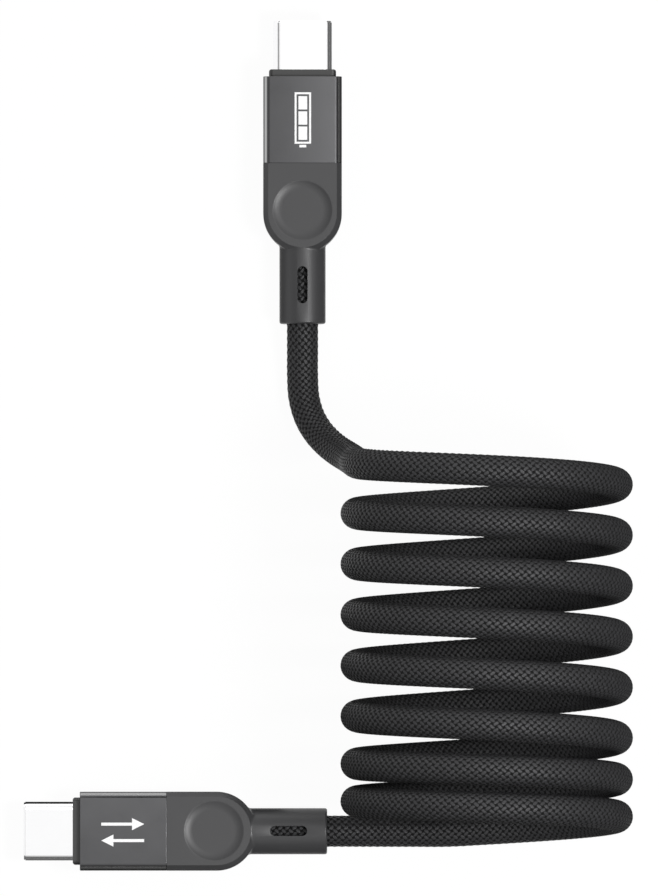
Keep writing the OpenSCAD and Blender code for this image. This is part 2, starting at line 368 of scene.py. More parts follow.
@dataclass(frozen=True)
class Ink:
    """Printed ink: an even colour with faint pinholes from the screen.

    Attributes:
        name: the material's name.
        colour: its colour.
        mesh: the width of the screen's mesh, in metres.
        holes: the heights of the mesh between which a pinhole closes.
        faint: the share of the colour that is left in a pinhole.
        roughness: the mean roughness.
        uneven: how much the mesh changes it.
        relief: the depth of the pinholes, in metres.
    """

    name: str
    colour: Colour
    mesh: float = 0.12 * MM
    holes: tuple[float, float] = (0.3, 0.55)
    faint: float = 0.86
    roughness: float = 0.5
    uneven: float = 0.2
    relief: float = 0.002 * MM

    def build(self) -> bpy.types.Material:
        """Makes the material.

        Returns:
            The material.
        """
        surface = Surface(self.name)
        mesh = surface.noise(self.mesh)
        return surface.close({
            "Base Color": surface.mix(
                mesh.rise(*self.holes), faded(self.colour, self.faint), self.colour),
            "Roughness": self.roughness + (mesh - 0.5) * self.uneven,
            "Normal": surface.bump(mesh, self.relief),
        })


@dataclass(frozen=True)
class BoardFinish:
    """A circuit board: green mask with copper tracks under it.

    Attributes:
        name: the material's name.
        track: the spacing of the tracks, in metres.
        wander: how far they stray from a straight line.
        edge: the heights between which a track rises.
        mask: the colour between the tracks.
        lit: the colour over them.
        weave: the width of the glass weave, in metres.
        roughness: the least roughness.
        uneven: how much the weave adds to it.
        relief: the depth of the tracks, in metres.
        weave_share: the height of the weave in that relief.
    """

    name: str
    track: float = 0.9 * MM
    wander: float = 0.4
    edge: tuple[float, float] = (0.55, 0.7)
    mask: Colour = (0.012, 0.09, 0.05, 1)
    lit: Colour = (0.03, 0.2, 0.1, 1)
    weave: float = 0.2 * MM
    roughness: float = 0.3
    uneven: float = 0.15
    relief: float = 0.02 * MM
    weave_share: float = 0.2

    def build(self) -> bpy.types.Material:
        """Makes the material.

        Returns:
            The material.
        """
        surface = Surface(self.name)
        lanes = surface.field("ShaderNodeTexWave", {"bands_direction": "DIAGONAL"},
                              {"Vector": surface.place(), "Scale": 1 / self.track,
                               "Distortion": self.wander})
        weave = surface.noise(self.weave, detail=2)
        tracks = lanes.rise(*self.edge)
        return surface.close({
            "Base Color": surface.mix(tracks, self.mask, self.lit),
            "Roughness": self.roughness + weave * self.uneven,
            "Normal": surface.bump(tracks + weave * self.weave_share, self.relief),
        })


@dataclass(frozen=True)
class Braid:
    """Plain braid of the cord: strands that cross over and under, with a dark gap between four; the
    colour darkens to near black as the strands dive, which is painted shade in the valleys.

    Attributes:
        name: the material's name.
        gaps_round: how many gaps one ring of the braid has.
        period: the length of one period along the cord, in metres.
        thread: the strands' colour.
        gap: the near-black colour between them, painted shade in the valleys between the strands.
        crown: how round a strand is across.
        dive: how deep a strand goes under the one that it crosses.
        edge: the heights between which a strand comes out of the gap and its painted shade fades out.
        filaments: how many filaments show across a strand.
        fuzz: the width of the loose fibres, in metres.
        faint: the share of the colour that the dullest fibres have.
        colour_shares: the shares of strand, filament and fuzz in the colour's variation.
        relief_shares: the shares of strand, filament and fuzz in the relief.
        roughness: the roughness in the gaps.
        gloss: how much less rough a strand is.
        uneven: how much the fuzz changes the roughness.
        specular: the strength of the gloss.
        relief: the depth of the relief, in metres.
        strength: how strongly the relief shows.
    """

    name: str
    gaps_round: int
    period: float
    thread: Colour = grey(0.041, 0.03)
    gap: Colour = grey(0.001, 0.05)
    crown: float = 2.1
    dive: float = 0.35
    edge: tuple[float, float] = (0.25, 0.78)
    filaments: int = 5
    fuzz: float = 0.12 * MM
    faint: float = 0.45
    colour_shares: tuple[float, float, float] = (0.35, 0.25, 0.4)
    relief_shares: tuple[float, float, float] = (0.8, 0.1, 0.1)
    roughness: float = 0.95
    gloss: float = 0.5
    uneven: float = 0.2
    specular: float = 0.3
    relief: float = 0.16 * MM
    strength: float = 0.8

    def strands(self, surface: Surface) -> tuple[Field, Field, Field, Field]:
        """Works out the braid's relief.

        Args:
            surface: the material's tree.

        Returns:
            The height of the strand on top, the place across it from -0.5 to 0.5, and the number
            of its row and of the row that it crosses.
        """
        turn = surface.stored(Cord.TURN, "Vector")
        along = surface.stored(Cord.ALONG)
        angle = surface.math("ARCTAN2", turn.part(1), turn.part(0))
        round_it = angle * (self.gaps_round / math.tau)
        down_it = along / self.period
        first, second = down_it + round_it, down_it - round_it
        row, column = first.floor(), second.floor()
        u, v = first - row - 0.5, second - column - 0.5
        swap = (row + column) % 2
        across = u + (v - u) * swap
        lengthwise = v + (u - v) * swap

        def height(side: Field, reach: Field) -> Field:
            """Returns a strand's height at a place across it and along it."""
            return 1 - (side * self.crown) * (side * self.crown) - reach * reach * (4 * self.dive)

        over = height(across, lengthwise)
        under = height(lengthwise, 1 - abs(across))
        return surface.math("MAXIMUM", over, under), across, row, column

    def build(self) -> bpy.types.Material:
        """Makes the material.

        Returns:
            The material.
        """
        surface = Surface(self.name)
        height, across, row, column = self.strands(surface)
        strand = height.rise(*self.edge)
        each = surface.field("ShaderNodeTexWhiteNoise", {"noise_dimensions": "2D"},
                             {"Vector": surface.field("ShaderNodeCombineXYZ", {}, {0: row, 1: column})})
        filaments = (across * (math.tau * self.filaments)).sine() * 0.5 + 0.5
        fuzz = surface.noise(self.fuzz)

        def blend(first: Field, shares: tuple[float, float, float]) -> Field:
            """Adds the filaments and the fuzz to a field, each by its share."""
            return first * shares[0] + filaments * shares[1] + fuzz * shares[2]

        thread = surface.mix(
            blend(each, self.colour_shares), faded(self.thread, self.faint), self.thread)
        return surface.close({
            # painted shade: the colour darkens to near black where the strands dive into the valleys
            # between them
            "Base Color": surface.mix(strand, self.gap, thread),
            "Roughness": self.roughness - strand * self.gloss + (fuzz - 0.5) * self.uneven,
            "Specular IOR Level": self.specular,
            "Normal": surface.bump(blend(strand, self.relief_shares), self.relief, self.strength),
        })


def new_object(name: str, mesh: bpy.types.Mesh | bpy.types.Curve) -> bpy.types.Object:
    """Links a new object into the scene, at the origin.

    Args:
        name: the object's name.
        mesh: its mesh or its curve.

    Returns:
        The object.
    """
    piece = bpy.data.objects.new(name, mesh)
    bpy.context.scene.collection.objects.link(piece)
    return piece


def corners(node: str) -> tuple[Vector, Vector]:
    """Returns the lowest and the highest corner of a CAD node's box."""
    low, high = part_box(node)
    return Vector(low), Vector(high)


def copied(node: str) -> bmesh.types.BMesh:
    """Copies a CAD node's mesh, with its loose triangles merged into flat faces.

    Args:
        node: the node's name.

    Returns:
        The copy.
    """
    work = bmesh.new()
    work.from_mesh(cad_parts[node].data)
    bmesh.ops.remove_doubles(work, verts=work.verts, dist=WELD)
    bmesh.ops.dissolve_limit(work, angle_limit=FLAT, verts=work.verts, edges=work.edges)
    return work


def meshed(name: str, work: bmesh.types.BMesh, finish: bpy.types.Material) -> bpy.types.Mesh:
    """Turns a worked mesh into a mesh of one finish.

    Args:
        name: the mesh's name.
        work: the worked mesh, which is freed.
        finish: its material.

    Returns:
        The mesh.
    """
    mesh = bpy.data.meshes.new(name)
    work.to_mesh(mesh)
    work.free()
    mesh.materials.append(finish)
    return mesh


def applied(name: str, source: bpy.types.Object) -> bpy.types.Object:
    """Turns an object with modifiers into a plain piece, and removes it.

    Args:
        name: the piece's name.
        source: the object.

    Returns:
        The piece.
    """
    bpy.context.view_layer.update()
    seen = source.evaluated_get(bpy.context.evaluated_depsgraph_get())
    piece = new_object(name, bpy.data.meshes.new_from_object(seen))
    bpy.data.objects.remove(source)
    return piece


def finished(name: str, work: bmesh.types.BMesh, finish: bpy.types.Material) -> bpy.types.Object:
    """Turns a worked mesh into a smooth-shaded piece.

    Args:
        name: the piece's name.
        work: the worked mesh, which is freed.
        finish: its material.

    Returns:
        The piece.
    """
    for face in work.faces:
        face.smooth = True
    mesh = meshed(name, work, finish)
    mesh.set_sharp_from_angle(angle=CREASE)
    rough = new_object(f"{name}_rough", mesh)
    rough.modifiers.new("flatten", "WEIGHTED_NORMAL").keep_sharp = True
    return applied(name, rough)


def seat(piece: bpy.types.Object, replaced: Iterable[str] = ()) -> None:
    """Puts a finished piece on the cable's one body.

    Args:
        piece: the piece.
        replaced: the CAD nodes that it stands for.
    """
    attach(piece, BODY)
    if replaced:
        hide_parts(*replaced)
    log.info("%s: %d faces", piece.name, len(piece.data.polygons))


class End(Enum):
    """The two ends of the cable; the value is the end of each node's name."""

    A = "a"
    B = "b"


@dataclass
class Cord:
    """The braided cord, from inside plug a, round the coil, to inside plug b.

    Attributes:
        diameter: the cord's diameter.
        length: its real length between the two strain reliefs; not used.
        lead_a: the route's points from plug a to the coil, in millimetres.
        lead_b: the route's points from the coil to plug b, in millimetres.
        coil_x: the coil's axis.
        coil_r: the coil's radius, to the middle of the cord.
        turns: how many turns the coil has.
        pitch: the spacing of its turns, and of the last ones.
        closing: the turns at which the spacing starts and stops closing.
        start_y: the middle of the first turn.
        skew: how far the turns lean forward at their right-hand side.
        period: the length of one period of the braid.
        relief: how far its strands stand up.
        gaps_round: how many gaps one ring of the braid has.
        points_a_turn: how many points one turn of the route has.
        spacing: the distance between the points of the smooth curve.
        path_step: not used.
    """

    TURN = "turn"
    ALONG = "along"
    MOUTH = 2       # the point of lead a at the mouth of the strain relief

    diameter: float = 4.4 * MM
    length: float = 0.95
    lead_a: tuple[tuple[float, float, float], ...] = (
        (16.75, 32.5, 3.25), (16.75, 24, 3.25), (16.75, 17, 3.25), (16.75, 13, 2.75),
        (16.75, 10, 2.3), (17, 6.5, 2.3), (17.75, 4, 2.8), (18.9, 2, 3.9), (20.3, 0.4, 5.7),
        (21.7, -0.8, 8.2), (23, -1.7, 11.4), (23.9, -2.4, 15.5),
    )
    lead_b: tuple[tuple[float, float, float], ...] = (
        (37, -54, 2.2), (32, -54, 2.2), (28, -54, 2.3), (24, -54, 2.9), (20.3, -54, 3.25),
        (12, -54, 3.25), (4.75, -54, 3.25),
    )
    coil_x: float = 42.45 * MM
    coil_r: float = 18.2 * MM
    turns: float = 7.75
    pitch: tuple[float, float] = (7.07 * MM, 5.2 * MM)
    closing: tuple[float, float] = (5.4, 6.2)
    start_y: float = -2.57 * MM
    skew: float = 0.24 * MM
    period: float = 1.0 * MM
    relief: float = 0.05 * MM
    gaps_round: int = 14
    points_a_turn: int = 24
    spacing: float = 0.5 * MM
    path_step: int = 4

    def advance(self, turn: float) -> float:
        """Works out how far along its axis the coil has come.

        Args:
            turn: the number of turns.

        Returns:
            The distance from the first turn, in metres.
        """
        wide, close = self.pitch
        begin, end = self.closing
        if turn <= begin:
            return wide * turn
        eased = min(turn, end) - begin
        slope = (close - wide) / (end - begin)
        return wide * (begin + eased) + slope * eased * eased / 2 + close * max(0.0, turn - end)

    def coil_point(self, turn: float) -> Vector:
        """Works out the middle of the cord in the coil.

        Args:
            turn: the number of turns.

        Returns:
            The point.
        """
        angle = math.pi - math.tau * turn
        height = self.coil_r + self.diameter / 2
        return Vector((
            self.coil_x + self.coil_r * math.cos(angle),
            self.start_y - self.advance(turn) + self.skew * math.cos(angle),
            height + self.coil_r * math.sin(angle),
        ))

    def knots(self) -> list[Vector]:
        """Joins the route's points.

        Returns:
            The points of lead a, of the turns of the coil and of lead b.
        """
        steps = round(self.turns * self.points_a_turn)
        coil = [self.coil_point(i / self.points_a_turn) for i in range(steps + 1)]
        leads = [[Vector(p) * MM for p in lead] for lead in (self.lead_a, self.lead_b)]
        return leads[0] + coil + leads[1]

    def route(self) -> list[Vector]:
        """Lays a smooth curve through the route's points.

        Returns:
            The curve's own close points.
        """
        knots = self.knots()
        ends = [2 * knots[0] - knots[1]] + knots + [2 * knots[-1] - knots[-2]]
        points: list[Vector] = []
        for before, start, stop, after in zip(ends, ends[1:], ends[2:], ends[3:]):
            gap = (stop - start).length
            leave = tangent(before, start, stop) * gap
            arrive = tangent(start, stop, after) * gap
            count = max(2, round(gap / self.spacing))
            points += [hermite(start, stop, leave, arrive, i / count) for i in range(count)]
        return points + [knots[-1]]

    def braid_tree(self, finish: bpy.types.Material) -> tuple[bpy.types.NodeTree, dict[str, str]]:
        """Makes the geometry tree that braids a tube along a curve.

        Args:
            finish: the braid's material.

        Returns:
            The tree, and the identifier of each named input.
        """
        group = bpy.data.node_groups.new("braid_along_curve", "GeometryNodeTree")
        face = group.interface
        face.new_socket("Geometry", in_out="INPUT", socket_type="NodeSocketGeometry")
        face.new_socket("Geometry", in_out="OUTPUT", socket_type="NodeSocketGeometry")
        names = ("Radius", "Relief", "Step")
        keys = {
            name: face.new_socket(name, in_out="INPUT", socket_type="NodeSocketFloat").identifier
            for name in names
        }
        keys["Columns"] = face.new_socket(
            "Columns", in_out="INPUT", socket_type="NodeSocketInt").identifier
        tree = Tree(group)
        given = tree.node("NodeGroupInput").outputs
        line = tree.node("GeometryNodeResampleCurve", {"mode": "LENGTH"},
                         {"Curve": given["Geometry"], "Length": given["Step"]}).outputs[0]
        index = tree.field("GeometryNodeInputIndex")
        length = tree.field("GeometryNodeSplineParameter", output="Length")
        line = self.store(tree, line, self.ALONG, "FLOAT", length)
        line = self.store(tree, line, "row", "FLOAT", index)
        ring = tree.node("GeometryNodeCurvePrimitiveCircle", {},
                         {"Resolution": given["Columns"], "Radius": given["Radius"]}).outputs[0]
        ring = self.store(tree, ring, self.TURN, "FLOAT_VECTOR",
                          tree.field("GeometryNodeInputPosition"))
        ring = self.store(tree, ring, "column", "FLOAT", index)
        tube = tree.node("GeometryNodeCurveToMesh", {},
                         {"Curve": line, "Profile Curve": ring, "Fill Caps": True}).outputs[0]
        row, column = (
            tree.field("GeometryNodeInputNamedAttribute", {"data_type": "FLOAT"}, {"Name": name})
            for name in ("row", "column")
        )
        lift = ((row + column) % 2 * 2 - 1) * Field(tree, given["Relief"])
        outwards = tree.field("ShaderNodeVectorMath", {"operation": "SCALE"}, {
            "Vector": tree.field("GeometryNodeInputNormal"), "Scale": lift})
        tube = tree.node("GeometryNodeSetPosition", {},
                         {"Geometry": tube, "Offset": outwards}).outputs[0]
        tube = tree.node("GeometryNodeSetShadeSmooth", {}, {"Geometry": tube}).outputs[0]
        tube = tree.node("GeometryNodeRealizeInstances", {}, {"Geometry": tube}).outputs[0]
        tube = tree.node("GeometryNodeSetMaterial", {},
                         {"Geometry": tube, "Material": finish}).outputs[0]
        tree.node("NodeGroupOutput", {}, {"Geometry": tube})
        return group, keys

    @staticmethod
    def store(tree: Tree, geometry: bpy.types.NodeSocket, name: str, kind: str,
              value: Field) -> bpy.types.NodeSocket:
        """Stores a value on the points of a geometry.

        Args:
            tree: the tree.
            geometry: the geometry.
            name: the name that the value gets.
            kind: its type.
            value: the value.

        Returns:
            The geometry that carries it.
        """
        return tree.node("GeometryNodeStoreNamedAttribute", {"data_type": kind},
                         {"Geometry": geometry, "Name": name, "Value": value}).outputs[0]

    def build(self, finish: bpy.types.Material) -> bpy.types.Object:
        """Args:
            finish: the braid's material.

        Returns:
            The cord's piece.
        """
        route = self.route()
        curve = bpy.data.curves.new("cord_line", "CURVE")
        curve.dimensions = "3D"
        spline = curve.splines.new("POLY")
        spline.points.add(len(route) - 1)
        for point, place in zip(spline.points, route):
            point.co = (*place, 1.0)
        line = new_object("cord_line", curve)
        group, keys = self.braid_tree(finish)
        modifier = line.modifiers.new("braid", "NODES")
        modifier.node_group = group
        values = {
            "Radius": self.diameter / 2 - self.relief, "Relief": self.relief,
            "Step": self.period / 2, "Columns": 2 * self.gaps_round,
        }
        for name, value in values.items():
            modifier[keys[name]] = value
        piece = applied("braided_cord", line)
        seat(piece, ("cord_lead_a", "cord_coil", "cord_lead_b"))
        return piece


def tangent(before: Vector, here: Vector, after: Vector) -> Vector:
    """Works out the direction of a curve at a point.

    Args:
        before: the point before it.
        here: the point.
        after: the point after it.

    Returns:
        The direction, weighted towards the nearer of the two.
    """
    back, ahead = here - before, after - here
    weight = back.length / (back.length + ahead.length)
    return back.normalized().lerp(ahead.normalized(), weight).normalized()


def hermite(start: Vector, stop: Vector, leave: Vector, arrive: Vector, t: float) -> Vector:
    """Returns the point at t, from 0 to 1, of the curve with those ends and end directions."""
    a, b = t * t * (3 - 2 * t), t * (1 - t)
    return start * (1 - a) + stop * a + leave * (b * (1 - t)) - arrive * (b * t)


@dataclass(frozen=True)
class Rounding:
    """How the edges of a copied solid are rounded.

    Attributes:
        radius: the width of the rounding.
        along: the width on the outer edges that run along the plug, or 0 for the same.
        sharper_than: the angle in degrees past which an edge is rounded.
        segments: the number of faces across the rounding.
        profile: how full the rounding is; 0.5 is round.
    """

    radius: float
    along: float = 0.0
    sharper_than: float = 30.0
    segments: int = 3
    profile: float = 0.5

    def edges(self, work: bmesh.types.BMesh) -> list[bmesh.types.BMEdge]:
        """Returns the edges of the mesh that are sharp enough."""
        least = math.radians(self.sharper_than)
        return [e for e in work.edges if len(e.link_faces) == 2 and e.calc_face_angle(0) > least]

    def apply(self, work: bmesh.types.BMesh, is_long: Callable[[bmesh.types.BMEdge], bool]) -> None:
        """Rounds the edges of a mesh.

        Args:
            work: the mesh.
            is_long: tells whether an edge is an outer one that runs along the plug.
        """
        for wanted, width in ((True, self.along), (False, self.radius)):
            picked = [e for e in self.edges(work) if (self.along > 0 and is_long(e)) == wanted]
            if picked and width > 0:
                bmesh.ops.bevel(work, geom=picked, offset=width, segments=self.segments,
                                profile=self.profile, affect="EDGES", clamp_overlap=True)


@dataclass(frozen=True)
class Mark:
    """A printed mark on a plug's sleeve, made of flat outlines.

    Attributes:
        name: the piece's name.
        outlines: closed outlines in millimetres, around the mark's middle.
        centre: the mark's middle on the table, in millimetres.
        quarter_turns: how often it is turned a quarter to the left.
        ink: how thick the ink is.
    """

    name: str
    outlines: tuple[Outline, ...]
    centre: tuple[float, float]
    quarter_turns: int = 0
    ink: float = 0.015 * MM

    def build(self, sleeve: str, finish: bpy.types.Material) -> bpy.types.Object:
        """Prints the mark on the top face of a sleeve.

        Args:
            sleeve: the CAD node that carries it.
            finish: the ink.

        Returns:
            The mark's piece.
        """
        top = corners(sleeve)[1].z
        turn = Matrix.Rotation(self.quarter_turns * math.pi / 2, 4, "Z")
        work = bmesh.new()
        for outline in self.outlines:
            flat = [turn @ Vector((x * MM, y * MM, 0)) for x, y in outline]
            move = Vector((self.centre[0] * MM, self.centre[1] * MM, top))
            low = [work.verts.new(p + move) for p in flat]
            high = [work.verts.new(p + move + Vector((0, 0, self.ink))) for p in flat]
            work.faces.new(low[::-1])
            work.faces.new(high)
            for i, vert in enumerate(low):
                j = (i + 1) % len(low)
                work.faces.new((vert, low[j], high[j], high[i]))
        bmesh.ops.recalc_face_normals(work, faces=work.faces)
        piece = new_object(self.name, meshed(self.name, work, finish))
        seat(piece)
        return piece


def bar(x0: float, y0: float, x1: float, y1: float) -> Outline:
    """Returns the outline of an upright rectangle between two corners."""
    return ((x0, y0), (x1, y0), (x1, y1), (x0, y1))


def battery_mark(length: float, width: float, stroke: float, bars: int,
                 cap: tuple[float, float] = (0.6, 1.9), narrowing: float = 2.4) -> list[Outline]:
    """Returns the outlines of a battery sign that lies along X.

    Args:
        length: its length without the cap.
        width: its width.
        stroke: the width of its lines.
        bars: how many bars of charge it shows.
        cap: where its cap starts and ends beyond the case, in strokes.
        narrowing: how much narrower the cap is than the case.

    Returns:
        The outlines.
    """
    x, y = length / 2, width / 2
    start, end = (x + stroke * far for far in cap)
    walls = [
        bar(-x, -y, x, stroke - y), bar(-x, y - stroke, x, y),
        bar(-x, stroke - y, stroke - x, y - stroke), bar(x - stroke, stroke - y, x, y - stroke),
        bar(start, -y / narrowing, end, y / narrowing),
    ]
    room = length - 2 * stroke
    pitch = (room - stroke) / bars
    inside = [
        bar(stroke * 2 - x + i * pitch, 2 * stroke - y, stroke - x + (i + 1) * pitch, y - 2 * stroke)
        for i in range(bars)
    ]
    return walls + inside


def arrow_mark(length: float, gap: float, stroke: float, head: float) -> list[Outline]:
    """Returns the outlines of two arrows that pass each other along X.

    Args:
        length: the length of each arrow.
        gap: the distance between their middle lines.
        stroke: the width of their shafts.
        head: the width of their heads.

    Returns:
        The outlines.
    """
    x, s, h = length / 2, stroke / 2, head / 2
    arrow = [(-x, -s), (x - head, -s), (x - head, -h), (x, 0), (x - head, h), (x - head, s), (-x, s)]
    upper = tuple((px, py + gap / 2) for px, py in arrow)
    lower = tuple((-px, -py - gap / 2) for px, py in arrow)
    return [upper, lower]


@dataclass
class RootFillet:
    """The moulded fillet between a grip's round end and its strain relief.

    A ball rolls round the strain relief, always in touch with both, and leaves the fillet.
    Places are in the plug's own frame: X across, Z up from its middle, and the depth behind its tip.

    Attributes:
        neck: the strain relief's radius.
        half_width: half of the grip's width.
        half_height: half of the grip's thickness.
        bevel: the bevel along the grip's edge.
        centre: the depth of the round end's centre.
        ball: the ball's radius.
        tuck: how far the fillet's back reaches into the moulding.
        steps_round: the number of its sections round the strain relief.
        steps_across: the number of faces across it.
        halvings: how often the search for the ball's place is halved.
    """

    neck: float
    half_width: float
    half_height: float
    bevel: float = 0.7 * MM
    centre: float = 27 * MM
    ball: float = 0.7 * MM
    tuck: float = 0.175 * MM
    steps_round: int = 96
    steps_across: int = 10
    halvings: int = 40

    def nearest(self, reach: float, height: float) -> tuple[float, float]:
        """Finds the nearest point of the round end's edge, seen from the side.

        Args:
            reach: a point's distance from the round end's upright axis.
            height: the point's height above the middle.

        Returns:
            The reach and the height of the nearest point.
        """
        face, wall = self.half_width - self.bevel, self.half_height - self.bevel
        point = Vector((reach, abs(height)))
        line = [Vector((0, self.half_height)), Vector((face, self.half_height)),
                Vector((self.half_width, wall)), Vector((self.half_width, 0))]
        spots = []
        for start, stop in zip(line, line[1:]):
            along = stop - start
            t = max(0.0, min(1.0, (point - start).dot(along) / along.length_squared))
            spots.append(start + along * t)
        best = min(spots, key=lambda spot: (spot - point).length)
        return best.x, math.copysign(best.y, height)

    def is_inside(self, reach: float, height: float) -> bool:
        """Tells whether a point at that reach and height is inside the moulding."""
        slope = max(0.0, abs(height) - (self.half_height - self.bevel))
        return abs(height) < self.half_height and reach < self.half_width - slope

    def ball_centre(self, x: float, z: float) -> Vector:
        """Finds where the ball stops that rolls forward to the round end.

        Args:
            x: the ball's place across.
            z: its height above the middle.

        Returns:
            The ball's centre.
        """
        near, far = self.centre, self.centre + 2 * self.half_width
        for _ in range(self.halvings):
            depth = (near + far) / 2
            reach = math.hypot(x, depth - self.centre)
            spot = self.nearest(reach, z)
            is_close = math.hypot(spot[0] - reach, spot[1] - z) < self.ball
            if is_close or self.is_inside(reach, z):
                near = depth
            else:
                far = depth
        return Vector((x, depth, z))

    def section(self, turn: float) -> list[Vector]:
        """Returns the fillet's outline at an angle round the strain relief.

        Args:
            turn: the angle from straight up.

        Returns:
            The points of the fillet, and last one point inside the moulding.
        """
        out = Vector((math.sin(turn), 0, math.cos(turn)))
        middle = self.ball_centre(*(out.xz * (self.neck + self.ball)))
        reach = math.hypot(middle.x, middle.y - self.centre)
        flat, height = self.nearest(reach, middle.z)
        share = flat / reach
        touch = Vector((middle.x * share, self.centre + (middle.y - self.centre) * share, height))
        start, stop = -out, (touch - middle).normalized()
        arc = [middle + start.slerp(stop, i / self.steps_across) * self.ball
               for i in range(self.steps_across + 1)]
        half = start.angle(stop) / 2
        inside = start.slerp(stop, 0.5) * (self.ball / math.cos(half) + self.tuck)
        return arc + [middle + inside]

    def add_to(self, work: bmesh.types.BMesh, place: Matrix) -> None:
        """Adds the fillet to a mesh.

        Args:
            work: the mesh.
            place: the plug's place.
        """
        rings = []
        for i in range(self.steps_round):
            points = self.section(math.tau * (i + 0.5) / self.steps_round)
            rings.append([work.verts.new(place @ Vector((p.x, -p.y, p.z))) for p in points])
        faces = []
        for ring, after in zip(rings, rings[1:] + rings[:1]):
            for j, vert in enumerate(ring):
                k = (j + 1) % len(ring)
                faces.append(work.faces.new((vert, after[j], after[k], ring[k])))
        bmesh.ops.recalc_face_normals(work, faces=faces)


@dataclass(frozen=True)
class Skin:
    """A softened copy of a CAD node.

    Attributes:
        rounding: how its edges are rounded.
        finish: the finish that it gets.
        slot: its material slot in the record; not used.
    """

    rounding: Rounding
    finish: str
    slot: str


@dataclass
class Plug:
    """One plug: its carried-over CAD nodes, and the softened shells that show.

    Attributes:
        end: which end of the cable it is on.
        finishes: the materials by name.
        mark: the printed mark on its sleeve.
        skins: the nodes that softened copies replace.
        insides: the finish of each node that is carried over.
        neck: the radius of its strain relief.
        edge_zone: how close to a wide face of the sleeve its outer long edges lie.
        straight: how far an edge that runs along the plug may stray sideways.
        chamfer: how far the sleeve's chamfers slant, in degrees.
        leeway: how far from that a chamfer's face may be, in degrees.
        level: how far a chamfer's face may point along the plug.
    """

    end: End
    finishes: dict[str, bpy.types.Material]
    mark: Mark
    skins: dict[str, Skin] = field(default_factory=lambda: {
        "plug_shell": Skin(Rounding(radius=0.06 * MM), "nickel", "nickel_shell"),
        "inner_housing": Skin(Rounding(radius=0.2 * MM), "collar", "collar_black"),
        "metal_sleeve": Skin(Rounding(radius=0.07 * MM, along=0.28 * MM), "sleeve", "sleeve_gunmetal"),
        "grip_body": Skin(Rounding(radius=0.12 * MM), "grip", "grip_grey"),
    })
    insides: dict[str, str] = field(default_factory=lambda: {
        "insulator": "mouth", "contacts_upper": "gold", "contacts_lower": "gold",
        "latch_plate": "spring", "ground_springs": "spring", "circuit_board": "board",
        "power_chip": "chip", "board_capacitors": "ceramic", "shield_can": "can",
        "inner_mould": "filling", "power_wires": "red_wire", "signal_wires": "white_wire",
        "crimp_ring": "copper",
    })
    neck: float = 3.23 * MM
    edge_zone: float = 0.8 * MM
    straight: float = 0.01 * MM
    chamfer: float = 45.0
    leeway: float = 6.0
    level: float = 0.1

    def node(self, name: str) -> str:
        """Returns the full name of a node of this plug."""
        return f"{name}_{self.end.value}"

    def dress_insides(self) -> None:
        """Gives each carried-over CAD node its finish."""
        for name, finish in self.insides.items():
            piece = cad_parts.get(self.node(name))
            if piece is not None:
                piece.data.materials.clear()
                piece.data.materials.append(self.finishes[finish])

    def place(self) -> Matrix:
        """Works out where the plug lies.

        Returns:
            The place of a plug whose tip was at the origin and its body towards -Y.
        """
        low, high = corners(self.node("plug_shell"))
        middle = (low + high) / 2
        if self.end is End.A:
            return Matrix.Translation((middle.x, high.y, middle.z))
        return Matrix.Translation((low.x, middle.y, middle.z)) @ Matrix.Rotation(math.pi / 2, 4, "Z")

    def sleeve_halves(self) -> tuple[float, float]:
        """Measures the sleeve.

        Returns:
            Half of its width and half of its thickness.
        """
        low, high = corners(self.node("metal_sleeve"))
        side = 0 if self.end is End.A else 1
        return (high[side] - low[side]) / 2, (high.z - low.z) / 2

    def is_outer_long(self, edge: bmesh.types.BMEdge) -> bool:
        """Tells whether an edge runs along the plug on the outside of its sleeve.

        Args:
            edge: the edge.

        Returns:
            Whether it does.
        """
        home = self.place().inverted()
        start, stop = (home @ v.co for v in edge.verts)
        runs = abs(start.y - stop.y) > self.edge_zone and abs(start.x - stop.x) < self.straight
        return runs and abs(start.z) > self.sleeve_halves()[1] - self.edge_zone

    def mark_sleeve(self, work: bmesh.types.BMesh) -> None:
        """Stores which faces of the sleeve are chamfers, and each corner's place across.

        Args:
            work: the sleeve's mesh.
        """
        home = self.place().inverted()
        cut = work.faces.layers.float.new(Metal.CUT)
        across = work.verts.layers.float.new(Metal.ACROSS)
        half_width, half_height = self.sleeve_halves()
        for vert in work.verts:
            vert[across] = (home @ vert.co).x / half_width
        for face in work.faces:
            normal = home.to_3x3() @ face.normal
            slant = math.degrees(math.atan2(abs(normal.x), abs(normal.z)))
            is_outside = abs((home @ face.calc_center_median()).z) > half_height / 2
            is_cut = abs(slant - self.chamfer) < self.leeway and abs(normal.y) < self.level
            face[cut] = float(is_outside and is_cut)

    def build_skins(self) -> None:
        """Replaces the shells that show by softened copies."""
        for name, skin in self.skins.items():
            node = self.node(name)
            work = copied(node)
            skin.rounding.apply(work, self.is_outer_long)
            if name == "grip_body":
                RootFillet(self.neck, *self.sleeve_halves()).add_to(work, self.place())
            if name == "metal_sleeve":
                self.mark_sleeve(work)
            seat(finished(f"{node}_skin", work, self.finishes[skin.finish]), (node,))

    def build(self) -> None:
        """Builds and dresses the whole plug."""
        self.dress_insides()
        self.build_skins()
        self.mark.build(self.node("metal_sleeve"), self.finishes["ink"])


